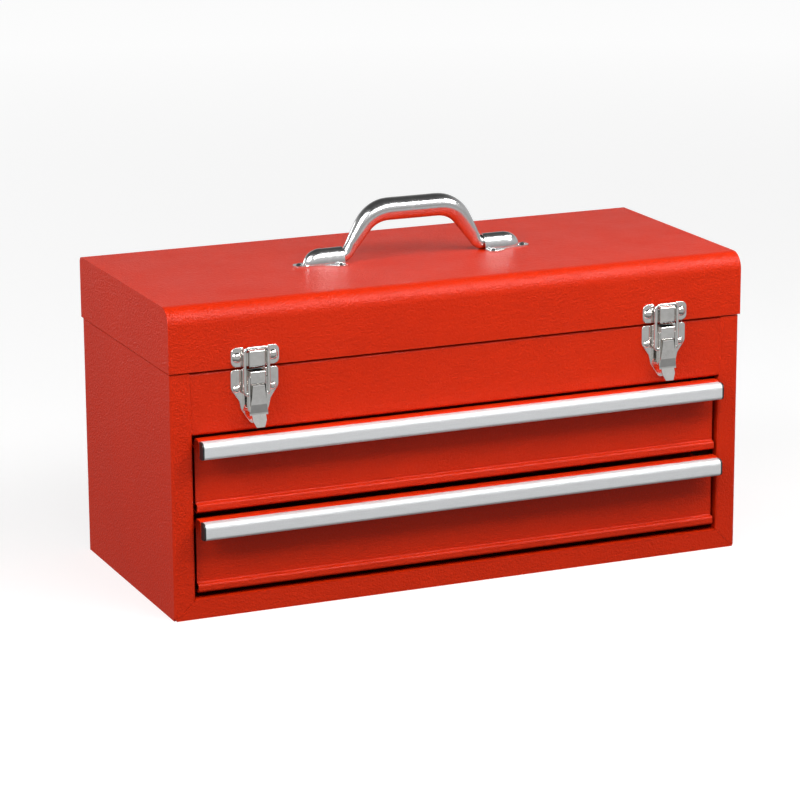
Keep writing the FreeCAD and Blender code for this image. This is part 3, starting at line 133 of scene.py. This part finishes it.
NICKEL = rgb(0.93, 0.92, 0.895)
NICKEL_DULL = rgb(0.82, 0.81, 0.785)
STEEL = rgb(0.90, 0.90, 0.90)
STEEL_MARKED = rgb(0.74, 0.74, 0.745)
ALUMINIUM = rgb(0.86, 0.875, 0.885)
ALUMINIUM_BRUSHED = rgb(0.72, 0.735, 0.75)
# painted glints: a lighter aluminium colour for small flecks that stand in for glints of light
ALUMINIUM_PAINTED_GLINT = rgb(0.93, 0.935, 0.94)
PLASTIC = rgb(0.012, 0.012, 0.013)
PLASTIC_GRAIN = rgb(0.024, 0.024, 0.026)
ZINC = rgb(0.58, 0.60, 0.63)
ZINC_CLOUDED = rgb(0.46, 0.48, 0.51)


def powder_coat(name, wear=1.0):
    """Satin red powder coat: orange peel, fine grains, faint hand marks and dust."""
    look = Look(name)
    clouds = look.noise(9.0, 3.0)
    grains = look.noise(GRAIN_SCALE, 2.0, 0.6)
    peel = look.noise(PEEL_SCALE, 2.0, 0.5)
    pits = look.cells(PIT_SCALE)
    colour = look.blend(look.spread(clouds, 0.0, 0.55), PAINT_RED, PAINT_RED_DEEP)
    colour = look.blend(look.spread(grains, 0.0, 0.38, 0.45, 0.75), colour, PAINT_RED_THIN)
    smudges = look.noise(22.0, 5.0, 0.62)
    rough = look.spread(smudges, PAINT_ROUGHNESS, PAINT_ROUGHNESS + WEAR_ROUGHNESS * wear, 0.35, 0.75)
    rough = look.sum(rough, look.spread(grains, -0.5, 0.5), 0.05)
    height = look.sum(peel, pits, 0.35)
    height = look.sum(height, grains, 0.18)
    look.surface(Base_Color=colour, Roughness=rough, Specular_IOR_Level=0.22,
                 Normal=look.relief(height, PEEL_DEPTH, 0.90))
    return look.material


def nickel_plate(name):
    """Bright nickel on pressed steel: soft ripples, hairline scratches and slightly dull patches."""
    look = Look(name)
    ripples = look.noise(260.0, 2.0)
    scratches = look.noise(1.0, 3.0, 0.7, look.stretched((2600.0, 2600.0, 190.0)))
    dulling = look.noise(95.0, 4.0, 0.6)
    colour = look.blend(look.spread(dulling, 0.0, 1.0), NICKEL, NICKEL_DULL)
    rough = look.sum(look.spread(dulling, 0.05, 0.14), look.spread(scratches, 0.0, 1.0, 0.45, 0.8), 0.06)
    height = look.sum(ripples, scratches, 0.10)
    look.surface(Base_Color=colour, Metallic=1.0, Roughness=rough,
                 Normal=look.relief(height, 0.00012, 0.35))
    return look.material


def polished_steel(name):
    """Polished steel with fine marks across the tube left by the belt."""
    look = Look(name)
    marks = look.noise(1.0, 4.0, 0.72, look.stretched((2300.0, 95.0, 95.0)))
    bands = look.noise(1.0, 2.0, 0.5, look.stretched((240.0, 25.0, 25.0)))
    colour = look.blend(look.spread(marks, 0.0, 1.0, 0.35, 0.75), STEEL, STEEL_MARKED)
    rough = look.sum(look.spread(bands, 0.11, 0.20), look.spread(marks, 0.0, 1.0, 0.4, 0.8), 0.08)
    look.surface(Base_Color=colour, Metallic=1.0, Roughness=rough,
                 Normal=look.relief(marks, 0.00008, 0.30))
    return look.material


def brushed_aluminium(name):
    """Satin aluminium extrusion, brushed along its length, with painted glints flecked into its colour."""
    look = Look(name)
    lines = look.noise(1.0, 4.0, 0.75, look.stretched((34.0, 3200.0, 3200.0)))
    grain = look.noise(900.0, 2.0)
    colour = look.blend(look.spread(lines, 0.0, 1.0), ALUMINIUM, ALUMINIUM_BRUSHED)
    # painted glints: fine noise flecks the colour lighter where glints of light are painted in
    colour = look.blend(look.spread(grain, 0.0, 0.25), colour, ALUMINIUM_PAINTED_GLINT)
    rough = look.spread(lines, 0.52, 0.66)
    look.surface(Base_Color=colour, Metallic=0.55, Roughness=rough,
                 Normal=look.relief(lines, 0.00006, 0.35))
    return look.material


def moulded_black(name):
    """Black moulded plastic with a fine spark-eroded grain."""
    look = Look(name)
    grain = look.noise(2200.0, 3.0, 0.6)
    colour = look.blend(look.spread(grain, 0.0, 1.0), PLASTIC, PLASTIC_GRAIN)
    look.surface(Base_Color=colour, Roughness=look.spread(grain, 0.38, 0.52),
                 Normal=look.relief(grain, 0.00005, 0.4))
    return look.material


def zinc_plate(name):
    """Dull zinc plate with a soft spangle."""
    look = Look(name)
    spangle = look.cells(210.0, "Color")
    clouds = look.noise(60.0, 4.0, 0.6)
    colour = look.blend(look.spread(clouds, 0.0, 1.0), ZINC, ZINC_CLOUDED)
    colour = look.blend(0.07, colour, spangle, "SOFT_LIGHT")
    look.surface(Base_Color=colour, Metallic=1.0, Roughness=look.spread(clouds, 0.30, 0.44),
                 Normal=look.relief(clouds, 0.00005, 0.3))
    return look.material


FINISHES = {
    "red_paint": powder_coat("red_powder_coat"),
    "tray_paint": powder_coat("tray_powder_coat", wear=1.6),
    "nickel_plate": nickel_plate("bright_nickel"),
    "polished_steel": polished_steel("polished_steel_tube"),
    "brushed_aluminium": brushed_aluminium("brushed_extrusion"),
    "black_plastic": moulded_black("moulded_black"),
    "zinc_plate": zinc_plate("dull_zinc"),
}


def dress_frame():
    """Give each CAD node the finish of its slot in the record."""
    for subpart in frame["record"]["subparts"]:
        piece = frame["nodes"][subpart["node"]]
        piece.data.materials.clear()
        piece.data.materials.append(FINISHES[subpart["material_slot"]])


# ----------------------------------------------------------------------------------------------- stage

# metres, from the chest outwards
FLOOR_HALF = 14.0
GLOW_NEAR_REACH = 0.5
GLOW_FAR_REACH = 3.0
FLOOR_TONE = 0.40
FLOOR_GLOW_NEAR = 0.66
FLOOR_GLOW_FAR = 0.88


def floor():
    """Flat pale sheet that glows and takes the chest's shadow; reflections and bounced light miss it."""
    mesh = bpy.data.meshes.new("floor")
    corners = [(-1, -1, 0), (1, -1, 0), (1, 1, 0), (-1, 1, 0)]
    mesh.from_pydata([(x * FLOOR_HALF, y * FLOOR_HALF, z) for x, y, z in corners], [], [(0, 1, 2, 3)])
    sheet = bpy.data.objects.new("floor", mesh)
    bpy.context.scene.collection.objects.link(sheet)
    look = Look("pale_floor")
    reach = look.add("ShaderNodeVectorMath", Vector=look.place)
    reach.operation = "LENGTH"
    glow = look.spread(reach.outputs["Value"], FLOOR_GLOW_NEAR, FLOOR_GLOW_FAR, GLOW_NEAR_REACH,
                       GLOW_FAR_REACH)
    look.surface(Base_Color=rgb(*[FLOOR_TONE] * 3), Roughness=0.9, Specular_IOR_Level=0.0,
                 Emission_Color=rgb(1.0, 1.0, 1.0), Emission_Strength=glow)
    mesh.materials.append(look.material)
    sheet.visible_glossy = False
    sheet.visible_diffuse = False


# brightness of the studio from straight down (0) to straight up (1), behind the chest and in front of it
WALL_BEHIND = [(0.0, 0.08), (0.40, 0.12), (0.50, 0.50), (0.60, 0.62), (0.70, 0.05), (1.0, 0.03)]
WALL_IN_FRONT = [
    (0.0, 0.05), (0.30, 0.26), (0.43, 0.62), (0.54, 0.10), (0.72, 0.80), (0.82, 0.12), (1.0, 0.10),
]
BEYOND_FLOOR = 0.92


def ramp(tree, place, stops):
    """Smooth grey scale through the stops, each a place between 0 and 1 and a brightness."""
    node = tree.nodes.new("ShaderNodeValToRGB")
    node.color_ramp.interpolation = "B_SPLINE"
    marks = node.color_ramp.elements
    while len(marks) < len(stops):
        marks.new(1.0)
    for mark, (position, tone) in zip(marks, stops):
        mark.position = position
        mark.color = rgb(tone, tone, tone)
    tree.links.new(place, node.inputs["Fac"])
    return node.outputs["Color"]


def world_light():
    """Dim studio with bright bands for the metal; where the camera sees past the floor it is pale."""
    world = bpy.data.worlds.new("studio")
    bpy.context.scene.world = world
    world.use_nodes = True
    tree = world.node_tree

    def half_range(value):
        """A value between -1 and 1, moved to between 0 and 1."""
        node = tree.nodes.new("ShaderNodeMapRange")
        node.inputs["From Min"].default_value = -1.0
        tree.links.new(value, node.inputs["Value"])
        return node.outputs["Result"]

    way = tree.nodes.new("ShaderNodeTexCoord").outputs["Generated"]
    split = tree.nodes.new("ShaderNodeSeparateXYZ")
    tree.links.new(way, split.inputs[0])
    behind = half_range(split.outputs["Y"])
    height = half_range(split.outputs["Z"])
    walls = tree.nodes.new("ShaderNodeMix")
    walls.data_type = "RGBA"
    tree.links.new(behind, walls.inputs[MIX_SHARE])
    tree.links.new(ramp(tree, height, WALL_IN_FRONT), walls.inputs[MIX_FIRST])
    tree.links.new(ramp(tree, height, WALL_BEHIND), walls.inputs[MIX_SECOND])
    room = tree.nodes["Background"]
    tree.links.new(walls.outputs[MIX_RESULT], room.inputs["Color"])
    pale = tree.nodes.new("ShaderNodeBackground")
    pale.inputs["Color"].default_value = rgb(*[BEYOND_FLOOR] * 3)
    ray = tree.nodes.new("ShaderNodeLightPath")
    mix = tree.nodes.new("ShaderNodeMixShader")
    tree.links.new(ray.outputs["Is Camera Ray"], mix.inputs["Fac"])
    tree.links.new(room.outputs["Background"], mix.inputs[1])
    tree.links.new(pale.outputs["Background"], mix.inputs[2])
    tree.links.new(mix.outputs["Shader"], tree.nodes["World Output"].inputs["Surface"])


def direction(azimuth, elevation):
    """Unit vector away from the chest, from degrees; azimuth 0 is straight in front of it."""
    turn = math.radians(azimuth)
    rise = math.radians(elevation)
    return Vector((math.sin(turn) * math.cos(rise), -math.cos(turn) * math.cos(rise), math.sin(rise)))


def softbox(name, azimuth, elevation, distance, width, height, power, aim):
    """Rectangular light turned to the chest."""
    light = bpy.data.lights.new(name, "AREA")
    light.shape = "RECTANGLE"
    light.size = width
    light.size_y = height
    light.energy = power
    lamp = bpy.data.objects.new(name, light)
    way = direction(azimuth, elevation)
    lamp.location = aim + way * distance
    lamp.rotation_euler = (-way).to_track_quat("-Z", "Y").to_euler()
    bpy.context.scene.collection.objects.link(lamp)


# name, azimuth and elevation in degrees, distance, width and height in metres, power in watts
SOFTBOXES = [
    ("key", 12, 48, 1.15, 1.3, 0.4, 4.6),
    ("strip", 36, 48, 1.2, 1.5, 0.13, 9.0),
    ("left", -68, 36, 1.9, 0.9, 0.9, 22.0),
    ("right", 52, 34, 2.2, 0.7, 0.7, 4.5),
    ("back", -142, 10, 2.3, 0.9, 0.7, 8.0),
]


def lights():
    """Softboxes round the middle of the chest."""
    low, high = cad_bounds
    middle = (low + high) / 2
    for box in SOFTBOXES:
        softbox(*box, middle)


# ----------------------------------------------------------------------------------------------- camera

# angles in degrees, lens and sensor in millimetres; the aim, and the distance from it, in metres
CAMERA_AZIMUTH = -23.275
CAMERA_ELEVATION = 14.633
CAMERA_ROLL = -0.277
CAMERA_DISTANCE = 2.8874
CAMERA_LENS = 149.8
CAMERA_SENSOR = 36.0
AIM_LEFT = 0.01036
AIM_HEIGHT = 0.13473


def camera():
    """Long lens, looking a little down on the front and the left side."""
    data = bpy.data.cameras.new("camera")
    data.lens = CAMERA_LENS
    data.sensor_width = CAMERA_SENSOR
    eye = bpy.data.objects.new("camera", data)
    bpy.context.scene.collection.objects.link(eye)
    back = direction(CAMERA_AZIMUTH, CAMERA_ELEVATION)
    right = Vector((0, 0, 1)).cross(back).normalized()
    up = back.cross(right)
    axes = Matrix((right, up, back)).transposed() @ Matrix.Rotation(math.radians(CAMERA_ROLL), 3, "Z")
    place = axes.to_4x4()
    place.translation = Vector((-AIM_LEFT, 0, AIM_HEIGHT)) + back * CAMERA_DISTANCE
    eye.matrix_world = place
    bpy.context.scene.camera = eye


dress_frame()
floor()
world_light()
lights()
camera()
bpy.context.scene.view_settings.view_transform = "Standard"
